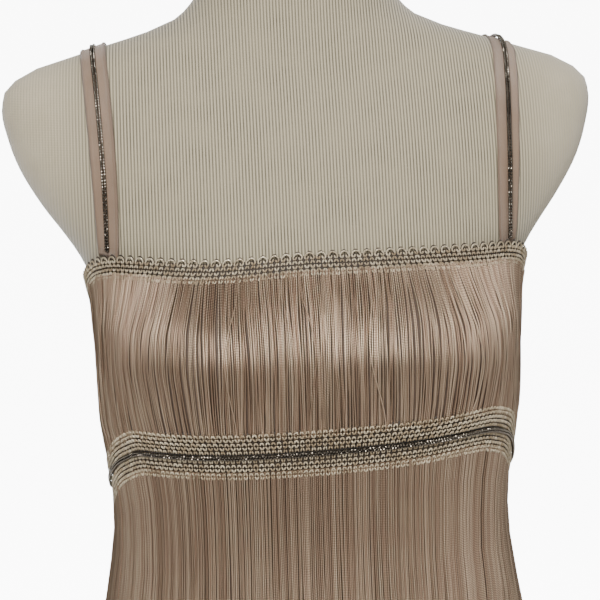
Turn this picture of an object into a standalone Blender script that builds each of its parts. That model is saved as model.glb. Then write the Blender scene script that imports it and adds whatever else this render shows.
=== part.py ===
"""Fringed flapper dress on a limbless dress form with its stand.

Metres, +Z up. The front faces -Y and the form's stand rests on the floor at z = 0.
Every layer of the dress is a wall laid out from one base surface, which is the outer
face of the hanging fringe. A turn is an angle round the body: 0 at the front centre,
90 degrees at the +X side seam and 180 at the back.
"""

import math
from collections import namedtuple

import bmesh
import bpy
from mathutils import Vector

MM = 0.001

# Driving dimensions of the dress.
GAP = 0.35 * MM  # clear space kept between any two pieces
SLIP_THICKNESS = 1.0 * MM
FRINGE_THICKNESS = 2.0 * MM
BRAID_PROUD = 0.4 * MM  # how far the neck braid stands out of the fringe
BAND_PROUD = 0.8 * MM  # the same for the two waist braids
NECK_BRAID_HEIGHT = 14.5 * MM
SCALLOP_HEIGHT = 3.0 * MM  # loops of the neck braid that rise above the slip
BAND_HEIGHT = 13.5 * MM  # one waist braid, from the chain's middle to its far edge
CHAIN_WIDTH = 3.2 * MM
CHAIN_THICKNESS = 2.2 * MM
CHAIN_EASE = 0.5 * MM  # between the waist chain and the braids under it
FRINGE_HEM_HEIGHT = 535 * MM
SLIP_HEM_HEIGHT = 575 * MM
STRAP_WIDTH = 18 * MM
STRAP_THICKNESS = 1.0 * MM
STRAP_EASE = 0.9 * MM  # between the strap and the form
STRAP_FOOT_RISE = 3.6 * MM  # from the slip's edge up to a strap's end

# Where the straps run: distance from the middle at each place.
STRAP_FRONT_X = 131 * MM
STRAP_SHOULDER_X = 139 * MM
STRAP_BACK_X = 104 * MM

# Driving dimensions of the form and its stand.
BASE_RADIUS = 190 * MM
BASE_THICKNESS = 8 * MM
BASE_EDGE = 3 * MM  # rounding of the base's and the boss's upper edges
BASE_BOSS_RADIUS = 32 * MM
BASE_BOSS_HEIGHT = 28 * MM
POLE_RADIUS = 14 * MM
POLE_FLANGE_RADIUS = 48 * MM
POLE_FLANGE_THICKNESS = 5 * MM
ROUND_SEGMENTS = 48

BUST_TURN = math.radians(34)  # where each cup is fullest
BUST_SPREAD = math.radians(20)

Section = namedtuple(
    "Section", "height half_width front back middle square_front square_back bust"
)

# Horizontal sections in millimetres, from the bottom up. front and back are the depths
# either side of the widest line, middle is how far that line lies behind the origin,
# square_front and square_back are the superellipse powers and bust is the cups' fullness.
FORM_SECTIONS = [
    Section(770.0, 150.0, 96.0, 104.0, 0.0, 2.3, 2.2, 0.0),
    Section(777.0, 158.0, 103.0, 111.0, 0.0, 2.3, 2.2, 0.0),
    Section(790.0, 161.0, 105.0, 113.0, 0.0, 2.3, 2.2, 0.0),
    Section(850.0, 165.0, 107.0, 117.0, 0.0, 2.3, 2.2, 0.0),
    Section(905.0, 159.0, 104.0, 112.0, 0.0, 2.3, 2.2, 0.0),
    Section(960.0, 142.0, 98.0, 101.0, 0.0, 2.3, 2.2, 0.0),
    Section(1000.0, 127.0, 93.0, 90.0, 0.0, 2.3, 2.2, 0.0),
    Section(1030.0, 119.0, 90.0, 85.0, 0.0, 2.3, 2.2, 0.0),
    Section(1062.0, 121.0, 94.0, 87.0, 0.0, 2.4, 2.2, 0.0),
    Section(1090.0, 128.0, 101.0, 91.5, 0.0, 2.5, 2.3, 0.0),
    Section(1112.0, 131.6, 106.0, 93.0, 0.0, 2.6, 2.3, 0.0),
    Section(1133.0, 133.6, 110.5, 93.8, 0.0, 2.7, 2.3, 0.0),
    Section(1154.0, 135.4, 115.0, 94.4, 0.0, 2.7, 2.3, 1.0),
    Section(1171.0, 137.0, 119.0, 95.0, 0.0, 2.8, 2.3, 4.0),
    Section(1192.0, 139.0, 122.6, 95.8, 0.0, 2.8, 2.3, 8.4),
    Section(1213.0, 140.9, 124.6, 96.0, 0.0, 2.8, 2.3, 11.2),
    Section(1230.0, 142.2, 122.4, 96.0, 0.0, 2.8, 2.3, 10.6),
    Section(1247.0, 143.2, 117.4, 95.8, 0.0, 2.7, 2.3, 7.0),
    Section(1262.0, 146.6, 110.4, 95.4, 0.0, 2.6, 2.3, 3.0),
    Section(1277.0, 153.4, 104.4, 94.6, 0.0, 2.5, 2.3, 0.0),
    Section(1291.0, 162.5, 100.8, 93.0, 0.5, 2.5, 2.3, 0.0),
    Section(1313.0, 178.6, 96.5, 90.0, 2.0, 2.4, 2.3, 0.0),
    Section(1337.0, 192.4, 91.5, 85.0, 4.0, 2.4, 2.3, 0.0),
    Section(1355.0, 199.0, 87.0, 80.0, 6.0, 2.3, 2.3, 0.0),
    Section(1376.0, 203.4, 79.0, 74.0, 8.0, 2.2, 2.2, 0.0),
    Section(1389.0, 201.2, 73.0, 70.0, 9.0, 2.1, 2.1, 0.0),
    Section(1397.0, 193.6, 69.5, 67.0, 10.0, 2.0, 2.0, 0.0),
    Section(1405.0, 178.5, 66.5, 64.0, 11.0, 2.0, 2.0, 0.0),
    Section(1411.0, 158.5, 64.5, 62.0, 11.0, 2.0, 2.0, 0.0),
    Section(1419.0, 132.5, 62.5, 60.0, 12.0, 2.0, 2.0, 0.0),
    Section(1428.0, 102.5, 60.5, 58.0, 13.0, 2.0, 2.0, 0.0),
    Section(1436.0, 83.5, 58.5, 56.5, 13.0, 2.0, 2.0, 0.0),
    Section(1446.0, 72.5, 56.5, 55.0, 13.0, 2.0, 2.0, 0.0),
    Section(1462.0, 62.5, 54.0, 53.0, 12.0, 2.0, 2.0, 0.0),
    Section(1485.0, 56.0, 52.0, 51.5, 10.0, 2.0, 2.0, 0.0),
    Section(1516.0, 53.6, 51.0, 51.0, 6.0, 2.0, 2.0, 0.0),
    Section(1521.0, 51.5, 49.0, 49.0, 6.0, 2.0, 2.0, 0.0),
    Section(1522.0, 48.0, 45.5, 45.5, 6.0, 2.0, 2.0, 0.0),
]
DRESS_SECTIONS = [
    Section(480.0, 189.0, 143.0, 146.0, 0.0, 2.1, 2.1, 0.0),
    Section(650.0, 185.0, 140.0, 143.0, 0.0, 2.2, 2.1, 0.0),
    Section(800.0, 180.0, 136.0, 138.0, 0.0, 2.3, 2.2, 0.0),
    Section(880.0, 173.5, 132.0, 131.5, 0.0, 2.3, 2.2, 0.0),
    Section(960.0, 159.5, 126.5, 118.5, 0.0, 2.4, 2.2, 0.0),
    Section(1030.0, 145.5, 120.5, 105.5, 0.0, 2.5, 2.2, 0.0),
    Section(1050.0, 142.0, 118.5, 102.5, 0.0, 2.6, 2.3, 0.0),
    Section(1075.0, 138.0, 116.0, 99.2, 0.0, 2.6, 2.3, 0.0),
    Section(1094.0, 136.0, 115.0, 97.8, 0.0, 2.7, 2.3, 0.0),
    Section(1112.0, 136.2, 115.2, 97.4, 0.0, 2.7, 2.3, 0.0),
    Section(1133.0, 139.2, 117.0, 98.2, 0.0, 2.7, 2.3, 0.0),
    Section(1154.0, 142.4, 120.6, 98.8, 0.0, 2.7, 2.3, 1.0),
    Section(1171.0, 144.0, 125.2, 99.4, 0.0, 2.8, 2.3, 4.0),
    Section(1192.0, 144.8, 128.4, 100.2, 0.0, 2.8, 2.3, 8.0),
    Section(1213.0, 145.4, 129.4, 100.4, 0.0, 2.8, 2.3, 11.5),
    Section(1230.0, 146.4, 127.4, 100.4, 0.0, 2.8, 2.3, 11.0),
    Section(1247.0, 147.8, 122.4, 100.2, 0.0, 2.7, 2.3, 7.0),
    Section(1262.0, 151.4, 115.6, 99.8, 0.0, 2.6, 2.3, 3.0),
    Section(1277.0, 158.2, 109.4, 99.0, 0.0, 2.5, 2.3, 0.0),
    Section(1291.0, 167.2, 105.4, 97.4, 0.0, 2.5, 2.3, 0.0),
]

# Heights in millimetres of the dress's two shaped lines at each turn in degrees.
Line = namedtuple("Line", "turn height")
NECKLINE = [
    Line(-180, 1250.0),
    Line(-130, 1250.0),
    Line(-105, 1252.0),
    Line(-90, 1257.0),
    Line(-76, 1269.0),
    Line(-65, 1279.5),
    Line(-59, 1281.5),
    Line(-33, 1279.0),
    Line(0, 1282.5),
    Line(33, 1283.0),
    Line(59, 1283.0),
    Line(65, 1281.0),
    Line(76, 1270.0),
    Line(90, 1257.0),
    Line(105, 1252.0),
    Line(130, 1250.0),
    Line(180, 1250.0),
]
WAIST_LINE = [
    Line(-180, 1106.0),
    Line(-110, 1108.0),
    Line(-90, 1115.0),
    Line(-74, 1130.0),
    Line(-60, 1147.0),
    Line(-51, 1153.5),
    Line(-30, 1153.0),
    Line(0, 1154.5),
    Line(28, 1158.0),
    Line(47, 1161.5),
    Line(58, 1156.0),
    Line(74, 1133.0),
    Line(90, 1115.0),
    Line(110, 1108.0),
    Line(180, 1106.0),
]

# Turns in degrees at which the walls have a column: closer together round the sides.
FRONT_TURNS = (
    [-90, -85, -80, -75, -70, -65]
    + [7.5 * step for step in range(-8, 9)]
    + [65, 70, 75, 80, 85, 90]
)
BACK_TURNS = [90, 97, 104, 112] + [120 + 10 * step for step in range(13)] + [248, 256, 263, 270]

BODICE_ROWS = 6  # rows of faces between the neck braid and the waist braid
SKIRT_ROWS = 6  # rows of faces between the waist braid and the slip's hem


def smooth(table, at):
    """The row of a table at a value of its first column, along a smooth curve that doesn't overshoot."""
    last = len(table) - 1
    at = min(max(at, table[0][0]), table[last][0])
    low = max(i for i in range(last) if table[i][0] <= at)
    span = table[low + 1][0] - table[low][0]
    part = (at - table[low][0]) / span
    values = [at]
    for column in range(1, len(table[0])):

        def rise(i, column=column):
            if not 0 <= i < last:
                return None
            return (table[i + 1][column] - table[i][column]) / (table[i + 1][0] - table[i][0])

        def slope(before, after):
            if before is None or after is None:
                return after if before is None else before
            return 2 * before * after / (before + after) if before * after > 0 else 0.0

        start = slope(rise(low - 1), rise(low)) * span
        end = slope(rise(low), rise(low + 1)) * span
        a, b = table[low][column], table[low + 1][column]
        values.append(
            a * (1 + 2 * part) * (1 - part) ** 2
            + start * part * (1 - part) ** 2
            + b * part**2 * (3 - 2 * part)
            + end * part**2 * (part - 1)
        )
    return values


def section_at(sections, height):
    """The section at a height in metres."""
    return Section(*smooth(sections, height / MM))


def on_section(section, turn):
    """The point of a section at a turn, in metres."""
    across, ahead = math.sin(turn), math.cos(turn)
    depth, power = (
        (section.front, section.square_front) if ahead > 0 else (section.back, section.square_back)
    )
    reach = ((abs(across) / section.half_width) ** power + (abs(ahead) / depth) ** power) ** (-1 / power)
    for cup in (-BUST_TURN, BUST_TURN):
        away = (turn - cup) / BUST_SPREAD
        if abs(away) < 4:
            reach += section.bust * math.exp(-away * away)
    return Vector((reach * across, section.middle - reach * ahead, section.height)) * MM


def on_dress(turn, height, out=0.0):
    """A point of the dress's base surface, moved out along the surface's own normal."""
    step = 0.002
    turned = [on_section(section_at(DRESS_SECTIONS, height), turn + side * step) for side in (-1, 1)]
    raised = [on_section(section_at(DRESS_SECTIONS, height + side * step), turn) for side in (-1, 1)]
    normal = (turned[1] - turned[0]).cross(raised[1] - raised[0]).normalized()
    return on_section(section_at(DRESS_SECTIONS, height), turn) + normal * out


def line_height(line, turn):
    """The height in metres of a shaped line at a turn in radians."""
    degrees = math.degrees(turn)
    return smooth(line, degrees - 360 if degrees > 180 else degrees)[1] * MM


def between(top, bottom, rows):
    """Heights of the rows from top to bottom, both ends included."""
    return [top + (bottom - top) * row / rows for row in range(rows + 1)]


def bodice_heights(turn):
    """Neckline, slip's edge, braid's edge, then even rows to the waist braid's edge and the waist seam."""
    neck, waist = line_height(NECKLINE, turn), line_height(WAIST_LINE, turn)
    even_rows = between(neck - NECK_BRAID_HEIGHT, waist + BAND_HEIGHT, BODICE_ROWS)
    return [neck, neck - SCALLOP_HEIGHT] + even_rows + [waist]


def skirt_heights(turn):
    """Waist seam, waist braid's edge, even rows to the slip's hem, then the fringe's ends."""
    waist = line_height(WAIST_LINE, turn)
    even_rows = between(waist - BAND_HEIGHT, SLIP_HEM_HEIGHT, SKIRT_ROWS)
    return [waist] + even_rows + [FRINGE_HEM_HEIGHT]


def chain_heights(turn):
    """The two edges of the chain along the waist seam."""
    waist = line_height(WAIST_LINE, turn)
    return [waist + CHAIN_WIDTH / 2, waist - CHAIN_WIDTH / 2]


# What the pieces are made of: colour, roughness and metallic value.
FINISHES = {
    "champagne_slip": ((0.21, 0.15, 0.11), 0.55, 0.0),
    "champagne_fringe": ((0.42, 0.33, 0.25), 0.38, 0.0),
    "champagne_braid": ((0.46, 0.38, 0.28), 0.42, 0.0),
    "taupe_strap": ((0.25, 0.18, 0.13), 0.5, 0.0),
    "gunmetal_chain": ((0.13, 0.12, 0.11), 0.3, 0.9),
    "form_jersey": ((0.48, 0.44, 0.35), 0.85, 0.0),
    "satin_steel": ((0.55, 0.55, 0.55), 0.35, 0.9),
}


def finish_of(name):
    """The named material, made once."""
    material = bpy.data.materials.get(name)
    if material is None:
        colour, roughness, metallic = FINISHES[name]
        material = bpy.data.materials.new(name)
        material.use_nodes = True
        shader = material.node_tree.nodes["Principled BSDF"]
        shader.inputs["Base Color"].default_value = (*colour, 1.0)
        shader.inputs["Roughness"].default_value = roughness
        shader.inputs["Metallic"].default_value = metallic
    return material


def finished(name, bm, finish):
    """Turns a bmesh into a named object with its material and normals pointing out."""
    bmesh.ops.recalc_face_normals(bm, faces=bm.faces)
    mesh = bpy.data.meshes.new(name)
    bm.to_mesh(mesh)
    bm.free()
    mesh.materials.append(finish_of(finish))
    mesh.shade_smooth()
    mesh.set_sharp_from_angle(angle=math.radians(40))
    piece = bpy.data.objects.new(name, mesh)
    bpy.context.scene.collection.objects.link(piece)
    return piece


def wall(name, inner_points, outer_points, finish, ring=False):
    """A closed wall between two grids of points, each a list of columns with one point for each row."""
    columns, rows = len(inner_points), len(inner_points[0])
    bm = bmesh.new()
    row_of = bm.verts.layers.int.new("row")
    bmesh.ops.create_grid(bm, x_segments=columns - 1, y_segments=rows - 1, size=1.0)
    original = list(bm.verts)
    copied = bmesh.ops.duplicate(bm, geom=original + list(bm.edges) + list(bm.faces))["vert_map"]
    for vertex in original:
        column = round((vertex.co.x + 1) / 2 * (columns - 1))
        row = round((vertex.co.y + 1) / 2 * (rows - 1))
        copied[vertex].co = outer_points[column][row]
        vertex.co = inner_points[column][row]
        copied[vertex][row_of] = vertex[row_of] = row
    if ring:
        bmesh.ops.remove_doubles(bm, verts=bm.verts, dist=1e-6)
    border = [edge for edge in bm.edges if edge.is_boundary]
    if ring:
        for rim_row in (0, rows - 1):
            rim = [edge for edge in border if edge.verts[0][row_of] == rim_row]
            bmesh.ops.bridge_loops(bm, edges=rim)
    else:
        bmesh.ops.bridge_loops(bm, edges=border)
    bm.verts.layers.int.remove(row_of)
    return finished(name, bm, finish)


def dress_wall(name, turns, heights_at, first, last, inner, outer, finish, ring=False):
    """One layer of the dress between two of its rows, and between two distances from the base surface."""
    half = GAP / 2
    angles = [math.radians(turn) for turn in turns]
    if not ring:
        angles[0] += half / on_dress(angles[0], heights_at(angles[0])[first]).to_2d().length
        angles[-1] -= half / on_dress(angles[-1], heights_at(angles[-1])[first]).to_2d().length
    grids = []
    for out in (inner, outer):
        columns = []
        for angle in angles:
            heights = heights_at(angle)[first : last + 1]
            heights[0] -= half
            heights[-1] += half
            columns.append([on_dress(angle, height, out) for height in heights])
        grids.append(columns)
    return wall(name, grids[0], grids[1], finish, ring)


def make_slip():
    """The plain under-dress that carries the fringe: a bodice and a skirt, each a front and a back."""
    inner, outer = -FRINGE_THICKNESS - GAP - SLIP_THICKNESS, -FRINGE_THICKNESS - GAP
    waist_row = BODICE_ROWS + 3
    hem_row = SKIRT_ROWS + 1
    for side, turns in (("front", FRONT_TURNS), ("back", BACK_TURNS)):
        dress_wall(
            f"bodice_{side}", turns, bodice_heights, 1, waist_row, inner, outer, "champagne_slip"
        )
        dress_wall(f"skirt_{side}", turns, skirt_heights, 0, hem_row, inner, outer, "champagne_slip")


def make_fringe():
    """The two tiers of fringe, each a thin wall of the threads' reach, and the braids that head them."""
    braid_row, band_row = 2, BODICE_ROWS + 2
    for side, turns in (("front", FRONT_TURNS), ("back", BACK_TURNS)):
        dress_wall(
            f"neck_braid_{side}",
            turns,
            bodice_heights,
            0,
            braid_row,
            -FRINGE_THICKNESS,
            BRAID_PROUD,
            "champagne_braid",
        )
        dress_wall(
            f"bodice_fringe_{side}",
            turns,
            bodice_heights,
            braid_row,
            band_row,
            -FRINGE_THICKNESS,
            0.0,
            "champagne_fringe",
        )
        dress_wall(
            f"waist_braid_upper_{side}",
            turns,
            bodice_heights,
            band_row,
            band_row + 1,
            -FRINGE_THICKNESS,
            BAND_PROUD,
            "champagne_braid",
        )
        dress_wall(
            f"waist_braid_lower_{side}",
            turns,
            skirt_heights,
            0,
            1,
            -FRINGE_THICKNESS,
            BAND_PROUD,
            "champagne_braid",
        )
        dress_wall(
            f"skirt_fringe_{side}",
            turns,
            skirt_heights,
            1,
            SKIRT_ROWS + 2,
            -FRINGE_THICKNESS,
            0.0,
            "champagne_fringe",
        )


def make_waist_chain():
    """The metal chain that covers the seam between the two waist braids, all round."""
    dress_wall(
        "waist_chain",
        FRONT_TURNS + BACK_TURNS[1:],
        chain_heights,
        0,
        1,
        BAND_PROUD + CHAIN_EASE,
        BAND_PROUD + CHAIN_EASE + CHAIN_THICKNESS,
        "gunmetal_chain",
        ring=True,
    )


def on_form(across, height, behind):
    """The point of the form's front or back surface at a distance from the middle, and its normal."""
    section = section_at(FORM_SECTIONS, height)

    def level(x, y, z):
        """Below 1 inside the form and above 1 outside it, for a point in metres."""
        at = section_at(FORM_SECTIONS, z)
        depth, power = (at.back, at.square_back) if behind else (at.front, at.square_front)
        away = abs(y / MM - at.middle)
        return (abs(x) / MM / at.half_width) ** power + (away / depth) ** power

    depth, power = (
        (section.back, section.square_back) if behind else (section.front, section.square_front)
    )
    left = max(0.0, 1 - (across / MM / section.half_width) ** power)
    y = (section.middle + (1 if behind else -1) * depth * left ** (1 / power)) * MM
    step = 0.0005
    normal = Vector(
        (
            level(across + step, y, height) - level(across - step, y, height),
            level(across, y + step, height) - level(across, y - step, height),
            level(across, y, height + step) - level(across, y, height - step),
        )
    ).normalized()
    return Vector((across, y, height)), normal


def ridge_height(across):
    """The height of the shoulder's top at a distance from the middle."""
    low, high = 1389 * MM, 1436 * MM
    for _ in range(40):
        middle = (low + high) / 2
        if section_at(FORM_SECTIONS, middle).half_width * MM > across:
            low = middle
        else:
            high = middle
    return low


def strap_stations():
    """Points and normals along the middle of the +X strap, from the front over the shoulder to the back."""
    top = ridge_height(STRAP_SHOULDER_X) - 0.05 * MM
    turn = math.atan2(STRAP_FRONT_X, 70 * MM)
    front_foot = line_height(NECKLINE, turn) - SCALLOP_HEIGHT + STRAP_FOOT_RISE
    back_foot = line_height(NECKLINE, math.pi * 0.75) - SCALLOP_HEIGHT + STRAP_FOOT_RISE
    # Shares of the climb from a strap's foot to the top of the shoulder.
    climb = (0.0, 0.025, 0.09, 0.19, 0.30, 0.42, 0.54, 0.65, 0.74, 0.82, 0.885, 0.935, 0.97, 0.991)
    stations = []
    for foot, foot_x, behind in (
        (front_foot, STRAP_FRONT_X, False),
        (back_foot, STRAP_BACK_X, True),
    ):
        run = []
        for share in climb:
            height = foot + (top - foot) * share
            across = foot_x + (STRAP_SHOULDER_X - foot_x) * share**2
            run.append(on_form(across, height, behind))
        stations.append(run)
    crest, _ = on_form(STRAP_SHOULDER_X, top, False)
    beside = [stations[0][-1], stations[1][-1]]
    middle = Vector((crest.x, (beside[0][0].y + beside[1][0].y) / 2, top))
    upward = (beside[0][1] + beside[1][1]).normalized()
    return stations[0] + [(middle, upward)] + stations[1][::-1]


def ribbon(name, stations, side, edges, inner, outer, finish):
    """A band along stations of points and normals, with its lengthwise edges at distances from the middle."""
    grids = ([], [])
    count = len(stations)
    for index, (point, normal) in enumerate(stations):
        before = stations[max(0, index - 1)][0]
        after = stations[min(count - 1, index + 1)][0]
        across = (after - before).normalized().cross(normal).normalized()
        for grid, out in zip(grids, (inner, outer)):
            places = [point + normal * out + across * edge for edge in edges]
            grid.append([Vector((side * place.x, place.y, place.z)) for place in places])
    return wall(name, grids[0], grids[1], finish)


def make_straps():
    """Two satin straps, each with a chain sewn down its middle."""
    stations = strap_stations()
    chain_edges = (-CHAIN_WIDTH / 2, CHAIN_WIDTH / 2)
    strap_edges = (-STRAP_WIDTH / 2, *chain_edges, STRAP_WIDTH / 2)
    chain_out = STRAP_EASE + STRAP_THICKNESS + GAP
    for name, side in (("right", -1), ("left", 1)):
        ribbon(
            f"strap_{name}",
            stations,
            side,
            strap_edges,
            STRAP_EASE,
            STRAP_EASE + STRAP_THICKNESS,
            "taupe_strap",
        )
        ribbon(
            f"strap_chain_{name}",
            stations[1:-1],
            side,
            chain_edges,
            chain_out,
            chain_out + CHAIN_THICKNESS,
            "gunmetal_chain",
        )


def make_form():
    """The limbless form: rings of its sections, bridged into one solid."""
    turns = FRONT_TURNS[:-1] + BACK_TURNS[:-1]
    bm = bmesh.new()
    rings = []
    for section in FORM_SECTIONS:
        made = bmesh.ops.create_circle(bm, segments=len(turns), radius=1.0)["verts"]
        for vertex, turn in zip(made, turns):
            vertex.co = on_section(section, math.radians(turn))
        rings.append({edge for vertex in made for edge in vertex.link_edges})
    for low, high in zip(rings, rings[1:]):
        bmesh.ops.bridge_loops(bm, edges=list(low | high))
    for end in (rings[0], rings[-1]):
        bmesh.ops.edgeloop_fill(bm, edges=list(end))
    finished("form_torso", bm, "form_jersey")


def turned(name, profile, finish):
    """A solid of revolution from a profile of radius and height, which starts and ends on the axis."""
    bm = bmesh.new()
    corners = [bm.verts.new((radius, 0.0, height)) for radius, height in profile]
    edges = [bm.edges.new(pair) for pair in zip(corners, corners[1:])]
    bmesh.ops.spin(
        bm,
        geom=corners + edges,
        cent=(0, 0, 0),
        axis=(0, 0, 1),
        angle=math.tau,
        steps=ROUND_SEGMENTS,
        use_merge=True,
    )
    bmesh.ops.remove_doubles(bm, verts=bm.verts, dist=1e-6)
    finished(name, bm, finish)


def rounded(radius, height, edge, steps=3):
    """Profile points of a quarter-round upper edge that ends at a radius and a height."""
    return [
        (
            radius - edge + edge * math.cos(math.pi / 2 * step / steps),
            height - edge + edge * math.sin(math.pi / 2 * step / steps),
        )
        for step in range(steps + 1)
    ]


def make_stand():
    """Pole with its flange under the torso, and round base."""
    flange_top = FORM_SECTIONS[0].height * MM - GAP
    pole_foot = BASE_BOSS_HEIGHT + GAP
    turned(
        "stand_pole",
        [
            (0.0, pole_foot),
            (POLE_RADIUS, pole_foot),
            (POLE_RADIUS, flange_top - POLE_FLANGE_THICKNESS),
            (POLE_FLANGE_RADIUS, flange_top - POLE_FLANGE_THICKNESS),
            (POLE_FLANGE_RADIUS, flange_top),
            (0.0, flange_top),
        ],
        "satin_steel",
    )
    turned(
        "stand_base",
        [(0.0, 0.0), (BASE_RADIUS, 0.0)]
        + rounded(BASE_RADIUS, BASE_THICKNESS, BASE_EDGE)
        + [(BASE_BOSS_RADIUS, BASE_THICKNESS)]
        + rounded(BASE_BOSS_RADIUS, BASE_BOSS_HEIGHT, BASE_EDGE)
        + [(0.0, BASE_BOSS_HEIGHT)],
        "satin_steel",
    )


def clear_scene():
    """Empties the file it is run in."""
    for item in list(bpy.data.objects):
        bpy.data.objects.remove(item, do_unlink=True)


def main():
    clear_scene()
    make_form()
    make_stand()
    make_slip()
    make_fringe()
    make_waist_chain()
    make_straps()


main()
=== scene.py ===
"""Looks of the fringed flapper dress on its form: knitted braids, hanging cords, bead chains and straps.

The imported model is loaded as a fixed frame, and each visible piece is laid on the same surface
as its solid. Metres, +Z up, the dress's front faces -Y. A turn is an angle round the body: 0 at
the front centre, 90 degrees at the +X side seam and 180 at the back.
"""

import math
from collections import namedtuple

import bmesh
import bpy
import numpy as np
from mathutils import Matrix, Vector


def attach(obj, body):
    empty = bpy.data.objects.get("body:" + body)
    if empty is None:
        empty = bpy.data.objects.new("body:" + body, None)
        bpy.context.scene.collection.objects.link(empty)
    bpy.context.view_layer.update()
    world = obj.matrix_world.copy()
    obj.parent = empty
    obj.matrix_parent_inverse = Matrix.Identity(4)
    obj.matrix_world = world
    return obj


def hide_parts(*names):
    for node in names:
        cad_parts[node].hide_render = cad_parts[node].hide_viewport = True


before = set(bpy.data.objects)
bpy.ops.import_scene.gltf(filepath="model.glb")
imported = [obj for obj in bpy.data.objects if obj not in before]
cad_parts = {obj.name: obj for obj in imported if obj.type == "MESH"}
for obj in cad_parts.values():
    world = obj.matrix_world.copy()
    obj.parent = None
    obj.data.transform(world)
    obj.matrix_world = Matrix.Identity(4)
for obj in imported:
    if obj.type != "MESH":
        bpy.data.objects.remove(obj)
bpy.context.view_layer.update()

bl_info = {
    "name": "Fringed flapper dress",
    "version": (1, 0, 0),
    "blender": (4, 5, 0),
    "location": "View3D > Sidebar > Dress",
    "description": "Builds the cords, braids, chains, straps and form cover of a flapper dress",
    "category": "Object",
}

MM = 0.001

# Depths of the layers, measured out from the dress's base surface.
SLIP_INNER = -3.3 * MM
SLIP_THICKNESS = 1.0 * MM
BRAID_GROUND_INNER = -2.0 * MM
BRAID_GROUND_THICKNESS = 1.0 * MM
STRAP_EASE = 0.9 * MM
STRAP_THICKNESS = 1.0 * MM
STRAP_WIDTH = 17 * MM
SATIN_THREAD = 0.45 * MM
STRAP_FOOT_RISE = 0.4 * MM
SCALLOP_HEIGHT = 3.0 * MM
NECK_BRAID_HEIGHT = 14.5 * MM
BAND_HEIGHT = 13.5 * MM
FRINGE_HEM_HEIGHT = 535 * MM
SLIP_HEM_HEIGHT = 575 * MM
ROOT = "root"

# Where the straps run: distance from the middle at each place.
STRAP_FRONT_X = 131 * MM
STRAP_SHOULDER_X = 139 * MM
STRAP_BACK_X = 104 * MM

BUST_TURN = math.radians(34)  # where each cup is fullest
BUST_SPREAD = math.radians(20)

Section = namedtuple(
    "Section", "height half_width front back middle square_front square_back bust"
)

# Horizontal sections in millimetres, from the bottom up. front and back are the depths
# either side of the widest line, middle is how far that line lies behind the origin,
# square_front and square_back are the superellipse powers and bust is the cups' fullness.
FORM_SECTIONS = [
    Section(770.0, 150.0, 96.0, 104.0, 0.0, 2.3, 2.2, 0.0),
    Section(777.0, 158.0, 103.0, 111.0, 0.0, 2.3, 2.2, 0.0),
    Section(790.0, 161.0, 105.0, 113.0, 0.0, 2.3, 2.2, 0.0),
    Section(850.0, 165.0, 107.0, 117.0, 0.0, 2.3, 2.2, 0.0),
    Section(905.0, 159.0, 104.0, 112.0, 0.0, 2.3, 2.2, 0.0),
    Section(960.0, 142.0, 98.0, 101.0, 0.0, 2.3, 2.2, 0.0),
    Section(1000.0, 127.0, 93.0, 90.0, 0.0, 2.3, 2.2, 0.0),
    Section(1030.0, 119.0, 90.0, 85.0, 0.0, 2.3, 2.2, 0.0),
    Section(1062.0, 121.0, 94.0, 87.0, 0.0, 2.4, 2.2, 0.0),
    Section(1090.0, 128.0, 101.0, 91.5, 0.0, 2.5, 2.3, 0.0),
    Section(1112.0, 131.6, 106.0, 93.0, 0.0, 2.6, 2.3, 0.0),
    Section(1133.0, 133.6, 110.5, 93.8, 0.0, 2.7, 2.3, 0.0),
    Section(1154.0, 135.4, 115.0, 94.4, 0.0, 2.7, 2.3, 1.0),
    Section(1171.0, 137.0, 119.0, 95.0, 0.0, 2.8, 2.3, 4.0),
    Section(1192.0, 139.0, 122.6, 95.8, 0.0, 2.8, 2.3, 8.4),
    Section(1213.0, 140.9, 124.6, 96.0, 0.0, 2.8, 2.3, 11.2),
    Section(1230.0, 142.2, 122.4, 96.0, 0.0, 2.8, 2.3, 10.6),
    Section(1247.0, 143.2, 117.4, 95.8, 0.0, 2.7, 2.3, 7.0),
    Section(1262.0, 146.6, 110.4, 95.4, 0.0, 2.6, 2.3, 3.0),
    Section(1277.0, 153.4, 104.4, 94.6, 0.0, 2.5, 2.3, 0.0),
    Section(1291.0, 162.5, 100.8, 93.0, 0.5, 2.5, 2.3, 0.0),
    Section(1313.0, 178.6, 96.5, 90.0, 2.0, 2.4, 2.3, 0.0),
    Section(1337.0, 192.4, 91.5, 85.0, 4.0, 2.4, 2.3, 0.0),
    Section(1355.0, 199.0, 87.0, 80.0, 6.0, 2.3, 2.3, 0.0),
    Section(1376.0, 203.4, 79.0, 74.0, 8.0, 2.2, 2.2, 0.0),
    Section(1389.0, 201.2, 73.0, 70.0, 9.0, 2.1, 2.1, 0.0),
    Section(1397.0, 193.6, 69.5, 67.0, 10.0, 2.0, 2.0, 0.0),
    Section(1405.0, 178.5, 66.5, 64.0, 11.0, 2.0, 2.0, 0.0),
    Section(1411.0, 158.5, 64.5, 62.0, 11.0, 2.0, 2.0, 0.0),
    Section(1419.0, 132.5, 62.5, 60.0, 12.0, 2.0, 2.0, 0.0),
    Section(1428.0, 102.5, 60.5, 58.0, 13.0, 2.0, 2.0, 0.0),
    Section(1436.0, 83.5, 58.5, 56.5, 13.0, 2.0, 2.0, 0.0),
    Section(1446.0, 72.5, 56.5, 55.0, 13.0, 2.0, 2.0, 0.0),
    Section(1462.0, 62.5, 54.0, 53.0, 12.0, 2.0, 2.0, 0.0),
    Section(1485.0, 56.0, 52.0, 51.5, 10.0, 2.0, 2.0, 0.0),
    Section(1516.0, 53.6, 51.0, 51.0, 6.0, 2.0, 2.0, 0.0),
    Section(1521.0, 51.5, 49.0, 49.0, 6.0, 2.0, 2.0, 0.0),
    Section(1522.0, 48.0, 45.5, 45.5, 6.0, 2.0, 2.0, 0.0),
]
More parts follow.
